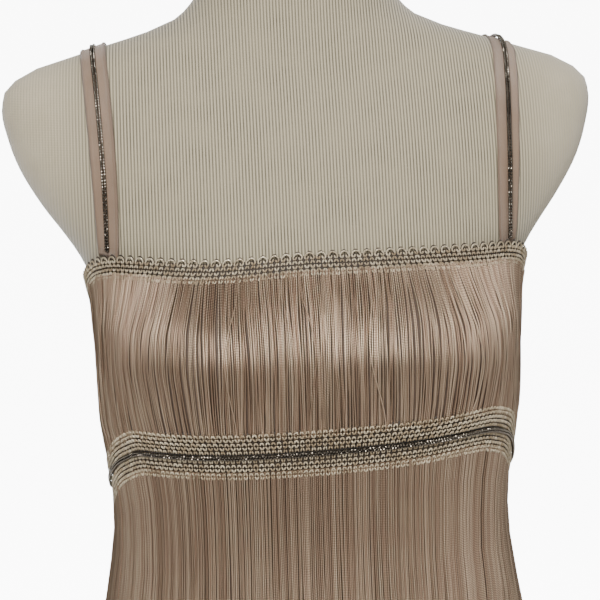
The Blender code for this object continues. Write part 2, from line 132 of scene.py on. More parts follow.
DRESS_SECTIONS = [
    Section(480.0, 189.0, 143.0, 146.0, 0.0, 2.1, 2.1, 0.0),
    Section(650.0, 185.0, 140.0, 143.0, 0.0, 2.2, 2.1, 0.0),
    Section(800.0, 180.0, 136.0, 138.0, 0.0, 2.3, 2.2, 0.0),
    Section(880.0, 173.5, 132.0, 131.5, 0.0, 2.3, 2.2, 0.0),
    Section(960.0, 159.5, 126.5, 118.5, 0.0, 2.4, 2.2, 0.0),
    Section(1030.0, 145.5, 120.5, 105.5, 0.0, 2.5, 2.2, 0.0),
    Section(1050.0, 142.0, 118.5, 102.5, 0.0, 2.6, 2.3, 0.0),
    Section(1075.0, 138.0, 116.0, 99.2, 0.0, 2.6, 2.3, 0.0),
    Section(1094.0, 136.0, 115.0, 97.8, 0.0, 2.7, 2.3, 0.0),
    Section(1112.0, 136.2, 115.2, 97.4, 0.0, 2.7, 2.3, 0.0),
    Section(1133.0, 139.2, 117.0, 98.2, 0.0, 2.7, 2.3, 0.0),
    Section(1154.0, 142.4, 120.6, 98.8, 0.0, 2.7, 2.3, 1.0),
    Section(1171.0, 144.0, 125.2, 99.4, 0.0, 2.8, 2.3, 4.0),
    Section(1192.0, 144.8, 128.4, 100.2, 0.0, 2.8, 2.3, 8.0),
    Section(1213.0, 145.4, 129.4, 100.4, 0.0, 2.8, 2.3, 11.5),
    Section(1230.0, 146.4, 127.4, 100.4, 0.0, 2.8, 2.3, 11.0),
    Section(1247.0, 147.8, 122.4, 100.2, 0.0, 2.7, 2.3, 7.0),
    Section(1262.0, 151.4, 115.6, 99.8, 0.0, 2.6, 2.3, 3.0),
    Section(1277.0, 158.2, 109.4, 99.0, 0.0, 2.5, 2.3, 0.0),
    Section(1291.0, 167.2, 105.4, 97.4, 0.0, 2.5, 2.3, 0.0),
]

# Heights in millimetres of the dress's two shaped lines at each turn in degrees.
Line = namedtuple("Line", "turn height")
NECKLINE = [
    Line(-180, 1250.0),
    Line(-130, 1250.0),
    Line(-105, 1252.0),
    Line(-90, 1257.0),
    Line(-76, 1269.0),
    Line(-65, 1279.5),
    Line(-59, 1281.5),
    Line(-33, 1279.0),
    Line(0, 1282.5),
    Line(33, 1283.0),
    Line(59, 1283.0),
    Line(65, 1281.0),
    Line(76, 1270.0),
    Line(90, 1257.0),
    Line(105, 1252.0),
    Line(130, 1250.0),
    Line(180, 1250.0),
]
WAIST_LINE = [
    Line(-180, 1106.0),
    Line(-110, 1108.0),
    Line(-90, 1115.0),
    Line(-74, 1130.0),
    Line(-60, 1147.0),
    Line(-51, 1153.5),
    Line(-30, 1153.0),
    Line(0, 1154.5),
    Line(28, 1158.0),
    Line(47, 1161.5),
    Line(58, 1156.0),
    Line(74, 1133.0),
    Line(90, 1115.0),
    Line(110, 1108.0),
    Line(180, 1106.0),
]



def smooth(table, at):
    """The row of a table at a value of its first column, along a smooth curve that doesn't overshoot."""
    last = len(table) - 1
    at = min(max(at, table[0][0]), table[last][0])
    low = max(i for i in range(last) if table[i][0] <= at)
    span = table[low + 1][0] - table[low][0]
    part = (at - table[low][0]) / span
    values = [at]
    for column in range(1, len(table[0])):

        def rise(i, column=column):
            if not 0 <= i < last:
                return None
            return (table[i + 1][column] - table[i][column]) / (table[i + 1][0] - table[i][0])

        def slope(before, after):
            if before is None or after is None:
                return after if before is None else before
            return 2 * before * after / (before + after) if before * after > 0 else 0.0

        start = slope(rise(low - 1), rise(low)) * span
        end = slope(rise(low), rise(low + 1)) * span
        a, b = table[low][column], table[low + 1][column]
        values.append(
            a * (1 + 2 * part) * (1 - part) ** 2
            + start * part * (1 - part) ** 2
            + b * part**2 * (3 - 2 * part)
            + end * part**2 * (part - 1)
        )
    return values


def section_at(sections, height):
    """The section at a height in metres."""
    return Section(*smooth(sections, height / MM))


def on_section(section, turn):
    """The point of a section at a turn, in metres."""
    across, ahead = math.sin(turn), math.cos(turn)
    depth, power = (
        (section.front, section.square_front) if ahead > 0 else (section.back, section.square_back)
    )
    reach = ((abs(across) / section.half_width) ** power + (abs(ahead) / depth) ** power) ** (-1 / power)
    for cup in (-BUST_TURN, BUST_TURN):
        away = (turn - cup) / BUST_SPREAD
        if abs(away) < 4:
            reach += section.bust * math.exp(-away * away)
    return Vector((reach * across, section.middle - reach * ahead, section.height)) * MM


def line_height(line, turn):
    """The height in metres of a shaped line at a turn in radians."""
    degrees = math.degrees(turn)
    return smooth(line, degrees - 360 if degrees > 180 else degrees)[1] * MM


def on_form(across, height, behind):
    """The point of the form's front or back surface at a distance from the middle, and its normal."""
    section = section_at(FORM_SECTIONS, height)

    def level(x, y, z):
        """Below 1 inside the form and above 1 outside it, for a point in metres."""
        at = section_at(FORM_SECTIONS, z)
        depth, power = (at.back, at.square_back) if behind else (at.front, at.square_front)
        away = abs(y / MM - at.middle)
        return (abs(x) / MM / at.half_width) ** power + (away / depth) ** power

    depth, power = (
        (section.back, section.square_back) if behind else (section.front, section.square_front)
    )
    left = max(0.0, 1 - (across / MM / section.half_width) ** power)
    y = (section.middle + (1 if behind else -1) * depth * left ** (1 / power)) * MM
    step = 0.0005
    normal = Vector(
        (
            level(across + step, y, height) - level(across - step, y, height),
            level(across, y + step, height) - level(across, y - step, height),
            level(across, y, height + step) - level(across, y, height - step),
        )
    ).normalized()
    return Vector((across, y, height)), normal


def ridge_height(across):
    """The height of the shoulder's top at a distance from the middle."""
    low, high = 1389 * MM, 1436 * MM
    for _ in range(40):
        middle = (low + high) / 2
        if section_at(FORM_SECTIONS, middle).half_width * MM > across:
            low = middle
        else:
            high = middle
    return low


def strap_stations():
    """Points and normals along the middle of the +X strap, from the front over the shoulder to the back."""
    top = ridge_height(STRAP_SHOULDER_X) - 0.05 * MM
    turn = math.atan2(STRAP_FRONT_X, 70 * MM)
    front_foot = line_height(NECKLINE, turn) - SCALLOP_HEIGHT + STRAP_FOOT_RISE
    back_foot = line_height(NECKLINE, math.pi * 0.75) - SCALLOP_HEIGHT + STRAP_FOOT_RISE
    # Shares of the climb from a strap's foot to the top of the shoulder.
    climb = (0.0, 0.025, 0.09, 0.19, 0.30, 0.42, 0.54, 0.65, 0.74, 0.82, 0.885, 0.935, 0.97, 0.991)
    stations = []
    for foot, foot_x, behind in (
        (front_foot, STRAP_FRONT_X, False),
        (back_foot, STRAP_BACK_X, True),
    ):
        run = []
        for share in climb:
            height = foot + (top - foot) * share
            across = foot_x + (STRAP_SHOULDER_X - foot_x) * share**2
            run.append(on_form(across, height, behind))
        stations.append(run)
    crest, _ = on_form(STRAP_SHOULDER_X, top, False)
    beside = [stations[0][-1], stations[1][-1]]
    middle = Vector((crest.x, (beside[0][0].y + beside[1][0].y) / 2, top))
    upward = (beside[0][1] + beside[1][1]).normalized()
    return stations[0] + [(middle, upward)] + stations[1][::-1]


class Wrap:
    """The dress's base surface sampled as a table, so that a whole mesh can be laid on it at once."""

    def __init__(self):
        self.turns = np.radians(np.arange(-100.0, 280.5, 1.0))
        self.heights = np.arange(0.48, 1.300, 0.003)
        rows = []
        for height in self.heights:
            section = section_at(DRESS_SECTIONS, height)
            rows.append([on_section(section, turn) for turn in self.turns])
        self.points = np.array(rows)
        self.points[:, :, 2] = self.heights[:, None]
        upward, turned = np.gradient(self.points, axis=(0, 1))
        normals = np.cross(turned, upward)
        self.normals = normals / np.linalg.norm(normals, axis=2, keepdims=True)
        row_step, turn_step = self.heights[1] - self.heights[0], self.turns[1] - self.turns[0]
        girth = np.sum(turned * turned, axis=2, keepdims=True)
        self.reach = np.sqrt(girth) / turn_step  # metres of girth for each radian
        # How fast a cord that hangs plumb changes its turn as it comes down.
        self.plumb = -np.sum(upward * turned, axis=2, keepdims=True) / girth * turn_step / row_step

    def look(self, table, turns, heights):
        """Values of one of the tables at turns and heights."""
        across = (turns - self.turns[0]) / (self.turns[1] - self.turns[0])
        up = (heights - self.heights[0]) / (self.heights[1] - self.heights[0])
        column = np.clip(across.astype(int), 0, len(self.turns) - 2)
        row = np.clip(up.astype(int), 0, len(self.heights) - 2)
        part_across = np.clip(across - column, 0, 1)[..., None]
        part_up = (up - row)[..., None]
        low = table[row, column] * (1 - part_across) + table[row, column + 1] * part_across
        high = table[row + 1, column] * (1 - part_across) + table[row + 1, column + 1] * part_across
        return low * (1 - part_up) + high * part_up

    def lay(self, turns, heights, outs):
        """Points at turns and heights, each moved out along the surface's normal."""
        turns, heights, outs = np.broadcast_arrays(turns, heights, outs)
        place = self.look(self.points, turns, heights)
        return place + self.look(self.normals, turns, heights) * outs[..., None]

    def hang(self, turns, high, low, segments):
        """Turns of plumb-hanging cords at each of their joints, from their tops to their feet."""
        joints = [turns]
        fine = 5
        fall = (low - high) / (segments * fine)
        heights = high.copy()
        now = turns.copy()
        for _ in range(segments):
            for _ in range(fine):
                now = now + self.look(self.plumb, now, heights)[..., 0] * fall
                heights = heights + fall
            joints.append(now)
        return np.array(joints)

    def line(self, table):
        """A shaped line as a function from turns to heights."""
        heights = [line_height(table, turn) for turn in self.turns]
        return lambda turns: np.interp(turns, self.turns, heights)

    def paced(self, line, start, end):
        """Arc lengths along a shaped line from one turn to another, with the turn at each."""
        turns = np.radians(np.linspace(start, end, 400))
        points = self.lay(turns, line(turns), 0.0)
        steps = np.linalg.norm(np.diff(points, axis=0), axis=1)
        return np.concatenate([[0.0], np.cumsum(steps)]), turns


WRAP = Wrap()
NECK = WRAP.line(NECKLINE)
WAIST = WRAP.line(WAIST_LINE)
SIDES = {"front": (-90.0, 90.0), "back": (90.0, 270.0)}

# The skirt's soft folds in the plain slip: turn, top and foot in metres, width in degrees and depth in mm.
Fold = namedtuple("Fold", "turn top foot width depth")
FOLDS = [
    Fold(-70, 0.99, 0.60, 7, 2.6),
    Fold(-41, 0.93, 0.58, 5, 1.8),
    Fold(-12, 0.97, 0.66, 8, 2.2),
    Fold(23, 0.90, 0.58, 6, 2.9),
    Fold(52, 0.98, 0.61, 5, 1.7),
    Fold(78, 0.94, 0.58, 8, 2.4),
    Fold(118, 0.99, 0.63, 7, 2.8),
    Fold(149, 0.92, 0.58, 5, 1.9),
    Fold(171, 0.98, 0.64, 8, 2.3),
    Fold(204, 0.95, 0.58, 6, 2.7),
    Fold(239, 0.99, 0.62, 7, 2.0),
]


def ramp(values, low, high):
    """0 below low, 1 above high and a smooth rise between."""
    part = np.clip((values - low) / (high - low), 0, 1)
    return part * part * (3 - 2 * part)


def node_vertices(mesh):
    """A mesh's vertex places as an array."""
    places = np.empty(len(mesh.vertices) * 3, dtype=np.float32)
    mesh.vertices.foreach_get("co", places)
    return places.reshape(-1, 3).astype(float)


def set_vertices(mesh, places):
    """Moves a mesh's vertices to the places of an array."""
    mesh.vertices.foreach_set("co", np.asarray(places, dtype=np.float32).ravel())
    mesh.update()


def set_vectors(mesh, name, vectors):
    """Stores a vector for each vertex, for the materials to read."""
    layer = mesh.attributes.new(name, "FLOAT_VECTOR", "POINT")
    layer.data.foreach_set("vector", np.asarray(vectors, dtype=np.float32).ravel())


def meshed(name, bm, smooth_shading=True):
    """Turns a bmesh into a mesh."""
    mesh = bpy.data.meshes.new(name)
    bm.to_mesh(mesh)
    bm.free()
    if smooth_shading:
        mesh.shade_smooth()
    else:
        mesh.shade_flat()
    return mesh


def arrayed(mesh, count, step):
    """A mesh repeated in a row by an Array modifier, as one new mesh."""
    guide = bpy.data.objects.new(mesh.name, mesh)
    bpy.context.scene.collection.objects.link(guide)
    repeat = guide.modifiers.new("Row", "ARRAY")
    repeat.use_relative_offset = False
    repeat.use_constant_offset = True
    repeat.constant_offset_displace = step
    repeat.count = count
    result = bpy.data.meshes.new_from_object(guide.evaluated_get(bpy.context.evaluated_depsgraph_get()))
    bpy.data.objects.remove(guide, do_unlink=True)
    return result


def joined(name, meshes, materials):
    """One object from several meshes, each with its own material."""
    bm = bmesh.new()
    for index, mesh in enumerate(meshes):
        first = len(bm.faces)
        bm.from_mesh(mesh)
        bm.faces.ensure_lookup_table()
        for face in bm.faces[first:]:
            face.material_index = index
    mesh = bpy.data.meshes.new(name)
    bm.to_mesh(mesh)
    bm.free()
    for material in materials:
        mesh.materials.append(material)
    piece = bpy.data.objects.new(name, mesh)
    bpy.context.scene.collection.objects.link(piece)
    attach(piece, ROOT)
    return piece


# Materials.


def new_material(name):
    """An empty node material with its shader."""
    material = bpy.data.materials.new(name)
    material.use_nodes = True
    return material, material.node_tree, material.node_tree.nodes["Principled BSDF"]


def node(tree, kind, **settings):
    """Adds a shader node; settings named by a socket go to that input."""
    made = tree.nodes.new(kind)
    for key, value in settings.items():
        if hasattr(made, key):
            setattr(made, key, value)
        else:
            made.inputs[key.replace("_", " ")].default_value = value
    return made


def maths(tree, operation, first, second=0.0, third=None):
    """Adds a Math node between sockets or numbers and gives its output."""
    made = tree.nodes.new("ShaderNodeMath")
    made.operation = operation
    for index, value in enumerate((first, second, third)):
        if value is None:
            continue
        if isinstance(value, (int, float)):
            made.inputs[index].default_value = value
        else:
            tree.links.new(value, made.inputs[index])
    return made.outputs[0]


def mixed(tree, factor, first, second):
    """Adds a colour mix and gives its output. Colours are sockets or linear RGB."""
    made = tree.nodes.new("ShaderNodeMix")
    made.data_type = "RGBA"
    values = ((made.inputs["Factor"], factor), (made.inputs[6], first), (made.inputs[7], second))
    for socket, value in values:
        if isinstance(value, (int, float)):
            socket.default_value = value
        elif isinstance(value, tuple):
            socket.default_value = (*value, 1.0)
        else:
            tree.links.new(value, socket)
    return made.outputs[2]


def pattern_axes(tree, name):
    """The three values of a piece's stored vectors."""
    source = node(tree, "ShaderNodeAttribute", attribute_name=name)
    split = tree.nodes.new("ShaderNodeSeparateXYZ")
    tree.links.new(source.outputs["Vector"], split.inputs[0])
    return split.outputs


def mottle_group():
    """A shared group: soft uneven dye and fine fibre grain, from Object coordinates."""
    group = bpy.data.node_groups.get("fibre_mottle")
    if group:
        return group
    group = bpy.data.node_groups.new("fibre_mottle", "ShaderNodeTree")
    group.interface.new_socket("Mottle", in_out="OUTPUT", socket_type="NodeSocketFloat")
    group.interface.new_socket("Grain", in_out="OUTPUT", socket_type="NodeSocketFloat")
    end = group.nodes.new("NodeGroupOutput")
    place = group.nodes.new("ShaderNodeTexCoord")
    for output, scale, detail in (("Mottle", 45.0, 3.0), ("Grain", 2600.0, 2.0)):
        noise = node(group, "ShaderNodeTexNoise", Scale=scale, Detail=detail, Roughness=0.6)
        group.links.new(place.outputs["Object"], noise.inputs["Vector"])
        group.links.new(noise.outputs["Fac"], end.inputs[output])
    return group


def mottle(tree):
    """Adds the shared mottle group and gives its outputs."""
    made = tree.nodes.new("ShaderNodeGroup")
    made.node_tree = mottle_group()
    return made.outputs


def bump(tree, shader, height, distance, strength=1.0):
    """Adds a bump from a height socket to a shader."""
    made = node(tree, "ShaderNodeBump", Strength=strength, Distance=distance)
    tree.links.new(height, made.inputs["Height"])
    tree.links.new(made.outputs["Normal"], shader.inputs["Normal"])


CORD_STITCH = 1.6 * MM  # one link of a cord's chain stitch


def cord_material():
    """Lustrous chain-stitched cord: its links are slanting bright threads, with painted shade darkening the
    hollows between them.
    """
    material, tree, shader = new_material("chainette_cord")
    shade, along, around = pattern_axes(tree, "strand")[:3]
    dye, grain = mottle(tree)[:2]
    slant = maths(tree, "MULTIPLY", maths(tree, "ABSOLUTE", around), 0.9)
    links = maths(tree, "ADD", maths(tree, "DIVIDE", along, CORD_STITCH), slant)
    wave_sine = maths(tree, "SINE", maths(tree, "MULTIPLY", links, math.tau))
    wave = maths(tree, "MULTIPLY_ADD", wave_sine, 0.5, 0.5)
    cord_shade = mixed(tree, shade, (0.38, 0.26, 0.165), (0.80, 0.64, 0.45))
    dyed = mixed(tree, maths(tree, "MULTIPLY", dye, 0.7), cord_shade, (0.44, 0.28, 0.205))
    # Painted shade: the hollows between the links are darkened towards a near-black brown.
    hollow_shade = maths(tree, "MULTIPLY", maths(tree, "SUBTRACT", 1.0, wave), 0.6)
    tree.links.new(mixed(tree, hollow_shade, dyed, (0.085, 0.05, 0.032)), shader.inputs["Base Color"])
    tree.links.new(maths(tree, "MULTIPLY_ADD", grain, 0.14, 0.26), shader.inputs["Roughness"])
    shader.inputs["Metallic"].default_value = 0.75
    shader.inputs["Specular IOR Level"].default_value = 0.9
    bump(tree, shader, wave, 0.1 * MM)
    return material


def braid_material():
    """Bright metallic-looking knitting yarn of the braids, with painted shade in the grooves between its
    plies.
    """
    material, tree, shader = new_material("braid_yarn")
    shade, along, around = pattern_axes(tree, "strand")[:3]
    dye, grain = mottle(tree)[:2]
    twist = maths(tree, "ADD", maths(tree, "DIVIDE", along, 0.7 * MM), maths(tree, "MULTIPLY", around, 2.0))
    plies_sine = maths(tree, "SINE", maths(tree, "MULTIPLY", twist, math.tau))
    plies = maths(tree, "MULTIPLY_ADD", plies_sine, 0.5, 0.5)
    yarn = mixed(tree, shade, (0.42, 0.32, 0.20), (0.86, 0.75, 0.55))
    dyed = mixed(tree, maths(tree, "MULTIPLY", dye, 0.4), yarn, (0.40, 0.29, 0.16))
    # Painted shade: the grooves between the plies are darkened.
    hollow_shade = maths(tree, "MULTIPLY", maths(tree, "SUBTRACT", 1.0, plies), 0.3)
    tree.links.new(mixed(tree, hollow_shade, dyed, (0.11, 0.07, 0.035)), shader.inputs["Base Color"])
    tree.links.new(maths(tree, "MULTIPLY_ADD", grain, 0.2, 0.22), shader.inputs["Roughness"])
    shader.inputs["Metallic"].default_value = 0.5
    shader.inputs["Specular IOR Level"].default_value = 0.9
    bump(tree, shader, plies, 0.12 * MM)
    return material


def knit_material(name, dark, light, pitch):
    """Fine plain knit: small stitches at a pitch, from Object coordinates."""
    material, tree, shader = new_material(name)
    dye, grain = mottle(tree)[:2]
    place = tree.nodes.new("ShaderNodeTexCoord")
    cells = node(tree, "ShaderNodeTexVoronoi", Scale=1 / pitch)
    tree.links.new(place.outputs["Object"], cells.inputs["Vector"])
    stitch = maths(tree, "MULTIPLY", cells.outputs["Distance"], 1.2)
    colour = mixed(tree, stitch, light, dark)
    dyed = mixed(tree, maths(tree, "MULTIPLY", dye, 0.5), colour, dark)
    tree.links.new(dyed, shader.inputs["Base Color"])
    tree.links.new(maths(tree, "MULTIPLY_ADD", grain, 0.2, 0.55), shader.inputs["Roughness"])
    shader.inputs["Sheen Weight"].default_value = 0.2
    bump(tree, shader, stitch, 0.3 * MM, 0.6)
    return material


def braid_ground():
    """Knit that shows between a braid's stitches, coloured near-black as painted shade in the gaps."""
    return once(knit_material, "braid_ground", (0.022, 0.014, 0.008), (0.085, 0.058, 0.032), 1.2 * MM)


def satin_material():
    """Strap satin: a fine diagonal weave, with painted shade darkening it towards the rolled edges."""
    material, tree, shader = new_material("strap_satin")
    across, along, edge = pattern_axes(tree, "strand")[:3]
    dye, grain = mottle(tree)[:2]
    weft = maths(tree, "DIVIDE", across, SATIN_THREAD)
    warp = maths(tree, "DIVIDE", along, SATIN_THREAD)
    diagonal = maths(tree, "ADD", weft, warp)
    weave_sine = maths(tree, "SINE", maths(tree, "MULTIPLY", diagonal, math.tau))
    weave = maths(tree, "MULTIPLY_ADD", weave_sine, 0.5, 0.5)
    face = mixed(tree, dye, (0.20, 0.125, 0.078), (0.30, 0.20, 0.13))
    woven = mixed(tree, maths(tree, "MULTIPLY", weave, 0.25), face, (0.42, 0.31, 0.225))
    # Painted shade: the satin darkens towards its rolled edges.
    tree.links.new(mixed(tree, edge, woven, (0.12, 0.075, 0.048)), shader.inputs["Base Color"])
    tree.links.new(maths(tree, "MULTIPLY_ADD", grain, 0.2, 0.36), shader.inputs["Roughness"])
    shader.inputs["Anisotropic"].default_value = 0.5
    shader.inputs["Sheen Weight"].default_value = 0.2
    bump(tree, shader, weave, 0.1 * MM)
    return material


def bead_material():
    """Dark plated facets that flash where they catch the light."""
    material, tree, shader = new_material("gunmetal_beads")
    dye, grain = mottle(tree)[:2]
    tree.links.new(mixed(tree, dye, (0.05, 0.043, 0.036), (0.30, 0.26, 0.21)), shader.inputs["Base Color"])
    tree.links.new(maths(tree, "MULTIPLY_ADD", grain, 0.16, 0.06), shader.inputs["Roughness"])
    shader.inputs["Metallic"].default_value = 1.0
    bump(tree, shader, grain, 0.03 * MM)
    return material


RIB_PITCH = 2.1 * MM  # from one vertical rib of the jersey to the next


def jersey_material():
    """Ribbed jersey of the form: painted shade darkens the grooves between its vertical ribs, and fades out
    over the shoulder ends.
    """
    material, tree, shader = new_material("ribbed_jersey")
    arc, height, plain = pattern_axes(tree, "strand")[:3]
    dye = mottle(tree)[0]
    ribs = maths(tree, "SINE", maths(tree, "MULTIPLY", maths(tree, "DIVIDE", arc, RIB_PITCH), math.tau))
    rib = maths(tree, "MULTIPLY_ADD", ribs, 0.5, 0.5)
    rows = maths(tree, "SINE", maths(tree, "MULTIPLY", maths(tree, "DIVIDE", height, 1.1 * MM), math.tau))
    # Painted shade: the grooves between the ribs are darkened, unevenly, and less over the shoulder ends.
    rib_groove_shade = maths(tree, "MULTIPLY", maths(tree, "SUBTRACT", 1.0, plain), maths(tree, "POWER", rib, 1.3))
    uneven = maths(tree, "MULTIPLY", rib_groove_shade, maths(tree, "MULTIPLY_ADD", dye, 0.8, 0.45))
    ground = mixed(tree, dye, (0.43, 0.365, 0.24), (0.55, 0.475, 0.335))
    tree.links.new(mixed(tree, uneven, ground, (0.075, 0.062, 0.034)), shader.inputs["Base Color"])
    shader.inputs["Roughness"].default_value = 0.85
    shader.inputs["Sheen Weight"].default_value = 0.3
    relief = maths(tree, "ADD", maths(tree, "MULTIPLY", rib, -1.0), maths(tree, "MULTIPLY", rows, 0.15))
    bump(tree, shader, relief, 0.3 * MM, 0.7)
    return material


def steel_material():
    """Satin steel of the stand with a fine turned grain and faint smudges."""
    material, tree, shader = new_material("satin_stand_steel")
    dye, grain = mottle(tree)[:2]
    tree.links.new(mixed(tree, dye, (0.46, 0.46, 0.45), (0.6, 0.6, 0.59)), shader.inputs["Base Color"])
    tree.links.new(maths(tree, "MULTIPLY_ADD", grain, 0.25, 0.22), shader.inputs["Roughness"])
    shader.inputs["Metallic"].default_value = 1.0
    bump(tree, shader, grain, 0.02 * MM)
    return material


def plain_material(name, colour, emission=0.0):
    """Plain pale finish of the stage."""
    material, _, shader = new_material(name)
    shader.inputs["Base Color"].default_value = (*colour, 1.0)
    shader.inputs["Roughness"].default_value = 0.9
    shader.inputs["Emission Color"].default_value = (1.0, 1.0, 1.0, 1.0)
    shader.inputs["Emission Strength"].default_value = emission
    return material


def once(maker, *details):
    """A material made by its function the first time and found by name after that."""
    key = maker.__name__ + "".join(str(detail) for detail in details[:1])
    if key not in once.made:
        once.made[key] = maker(*details)
    return once.made[key]


once.made = {}


# Shapes in a flat pattern, before they are laid on the dress.


def cord_pattern(segments, radius, sides=4):
    """One straight cord of unit length along +Z with a closed foot."""
    bm = bmesh.new()
    ring = bmesh.ops.create_circle(bm, segments=sides, radius=radius)["verts"]
    edges = list({edge for vertex in ring for edge in vertex.link_edges})
    for _ in range(segments):
        made = bmesh.ops.extrude_edge_only(bm, edges=edges)["geom"]
        ring = [item for item in made if isinstance(item, bmesh.types.BMVert)]
        edges = [item for item in made if isinstance(item, bmesh.types.BMEdge)]
        bmesh.ops.translate(bm, vec=(0, 0, 1 / segments), verts=ring)
    bmesh.ops.holes_fill(bm, edges=edges)
    bmesh.ops.recalc_face_normals(bm, faces=bm.faces)
    return meshed("cord", bm)


def stitch_pattern(width, height, depth, lean):
    """One V stitch: two leaning loops of yarn, drawn in X across, Z up and Y out."""
    bm = bmesh.new()
    for side in (-1, 1):
        loop = bmesh.ops.create_uvsphere(bm, u_segments=6, v_segments=4, radius=1.0)["verts"]
        bmesh.ops.scale(bm, vec=(width * 0.19, depth / 2, height * 0.52), verts=loop)
        bmesh.ops.rotate(bm, matrix=Matrix.Rotation(side * lean, 3, "Y"), verts=loop)
        bmesh.ops.translate(bm, vec=(side * width * 0.24, 0, 0), verts=loop)
    return meshed("stitch", bm)


def scallop_pattern(width, height, radius):
    """One open loop of yarn that arches over a pair of stitches."""
    bm = bmesh.new()
    ring = bmesh.ops.create_circle(bm, segments=6, radius=radius)["verts"]
    bmesh.ops.rotate(bm, matrix=Matrix.Rotation(math.pi / 2, 3, "X"), verts=ring)
    bmesh.ops.rotate(bm, matrix=Matrix.Rotation(math.pi / 2, 3, "X"), verts=ring)
    bmesh.ops.translate(bm, vec=(width / 2, 0, 0), verts=ring)
    edges = list({edge for vertex in ring for edge in vertex.link_edges})
    bmesh.ops.spin(
        bm, geom=ring + edges, cent=(0, 0, 0), axis=(0, -1, 0), angle=math.pi, steps=9, use_merge=False
    )
    bmesh.ops.scale(bm, vec=(1, 1, height / (width / 2)), verts=bm.verts)
    bmesh.ops.recalc_face_normals(bm, faces=bm.faces)
    return meshed("scallop", bm)


def bead_pattern(radius):
    """One faceted bead."""
    bm = bmesh.new()
    bmesh.ops.create_icosphere(bm, subdivisions=2, radius=radius)
    return meshed("bead", bm, smooth_shading=False)


PATTERN_STEP = 0.01  # spacing of copies in the flat pattern, before they are spread to their real pitch


def spread(mesh, count):
    """Repeats a mesh, and gives the copies with each vertex's copy number and place within its copy."""
    row = arrayed(mesh, count, (PATTERN_STEP, 0, 0))
    places = node_vertices(row)
    number = np.rint(places[:, 0] / PATTERN_STEP).astype(int)
    local = places.copy()
    local[:, 0] -= number * PATTERN_STEP
    return row, number, local


def sheet_grid(columns, rows):
    """A flat grid whose X and Y run from 0 to 1."""
    bm = bmesh.new()
    bmesh.ops.create_grid(bm, x_segments=columns, y_segments=rows, size=0.5)
    bmesh.ops.translate(bm, vec=(0.5, 0.5, 0), verts=bm.verts)
    return bm


def shell(name, columns, rows, place, thickness):
    """A thin closed shell of cloth: a grid laid out by a function of X and Y, then given its thickness."""
    bm = sheet_grid(columns, rows)
    flat = np.array([vertex.co[:2] for vertex in bm.verts])
    laid = place(flat[:, 0], flat[:, 1])
    for vertex, point in zip(bm.verts, laid):
        vertex.co = point
    bmesh.ops.recalc_face_normals(bm, faces=bm.faces)
    bmesh.ops.solidify(bm, geom=list(bm.faces), thickness=thickness)
    bmesh.ops.recalc_face_normals(bm, faces=bm.faces)
    return meshed(name, bm)


# The dress.

Wave = namedtuple("Wave", "across down amount")
DRIFT = [
    Wave(0.0053, 0.160, 0.22 * MM),
    Wave(0.0083, -0.230, 0.34 * MM),
    Wave(0.0127, 0.310, 0.42 * MM),
    Wave(0.0310, -0.450, 0.50 * MM),
]


def drift(arcs, heights, generator):
    """Sideways wander shared by neighbouring cords, which draws them together here and apart there."""
    total = np.zeros_like(arcs)
    for wave in DRIFT:
        phase = generator.uniform(0, 1)
        total += wave.amount * np.sin(math.tau * (arcs / wave.across + heights / wave.down + phase))
    return total


def cord_layer(side, line, top, foot, pitch, radius, out, loose, seed, segments, only=None):
    """One layer of hanging cords.

    top is how far below the line the cords start, foot gives the height of their ends, loose is how
    far they may stray, and only picks a few cords that hang astray instead of a whole layer.
    """
    generator = np.random.default_rng(seed)
    lengths, turns = WRAP.paced(line, *SIDES[side])
    count = only or int(lengths[-1] / pitch)
    mesh, number, local = spread(cord_pattern(segments, radius), count)
    part = local[:, 2]
    if only:
        starts = generator.uniform(0.03, 0.97, count) * lengths[-1]
    else:
        starts = (np.arange(count) + 0.5 + generator.uniform(-0.22, 0.22, count)) * lengths[-1] / count
    begin_turn = np.interp(starts, lengths, turns)
    high = line(begin_turn) - top
    low = foot(begin_turn, generator, count)
    arcs = starts[number]
    heights = high[number] + (low - high)[number] * part
    free = ramp(part, 0.0, 0.3)
    own_phase = generator.uniform(0, math.tau, (2, count))
    own_size = generator.uniform(0.2, 1.0, count) * loose
    own = np.sin(part * 3.1 + own_phase[0][number]) + 0.5 * np.sin(part * 7.7 + own_phase[1][number])
    own -= np.sin(own_phase[0])[number] + 0.5 * np.sin(own_phase[1])[number]
    stray = free * (drift(arcs, heights, generator) * (0 if only else 1) + own * own_size[number])
    swell = generator.uniform(0.8, 1.2, count)[number]
    depth = out + generator.uniform(-0.3, 0.3, count)[number] * MM
    depth += free * 0.35 * MM * np.sin(part * 9 + own_phase[1][number])
    hung = WRAP.hang(begin_turn, high, low, segments)[np.rint(part * segments).astype(int), number]
    reach = WRAP.look(WRAP.reach, hung, heights)[:, 0]
    laid = WRAP.lay(hung + (stray + local[:, 0] * swell) / reach, heights, depth + local[:, 1] * swell)
    set_vertices(mesh, laid)
    around = np.arctan2(local[:, 0], local[:, 1]) / math.pi
    along = (high[number] - heights) + generator.uniform(0, 1, count)[number] * CORD_STITCH
    shade = generator.uniform(0, 1, count)[number]
    set_vectors(mesh, "strand", np.column_stack([shade, along, around]))
    return mesh


def bodice_foot(turns, generator, count):
    """The bodice cords end under the waist braid."""
    return WAIST(turns) + BAND_HEIGHT - 3 * MM


def skirt_foot(turns, generator, count):
    """The skirt cords are cut off at the hem, a few millimetres uneven."""
    return FRINGE_HEM_HEIGHT + generator.uniform(0.0, 7.0, count) * MM


CordLayer = namedtuple("CordLayer", "spacing out loose only")
CORD_LAYERS = (
    CordLayer(spacing=1.35, out=-1.5 * MM, loose=0.5 * MM, only=None),  # sparse, underneath
    CordLayer(spacing=1.0, out=-0.45 * MM, loose=0.4 * MM, only=None),  # the face
    CordLayer(spacing=1.0, out=0.7 * MM, loose=4.5 * MM, only=16),  # a few strays on top
)


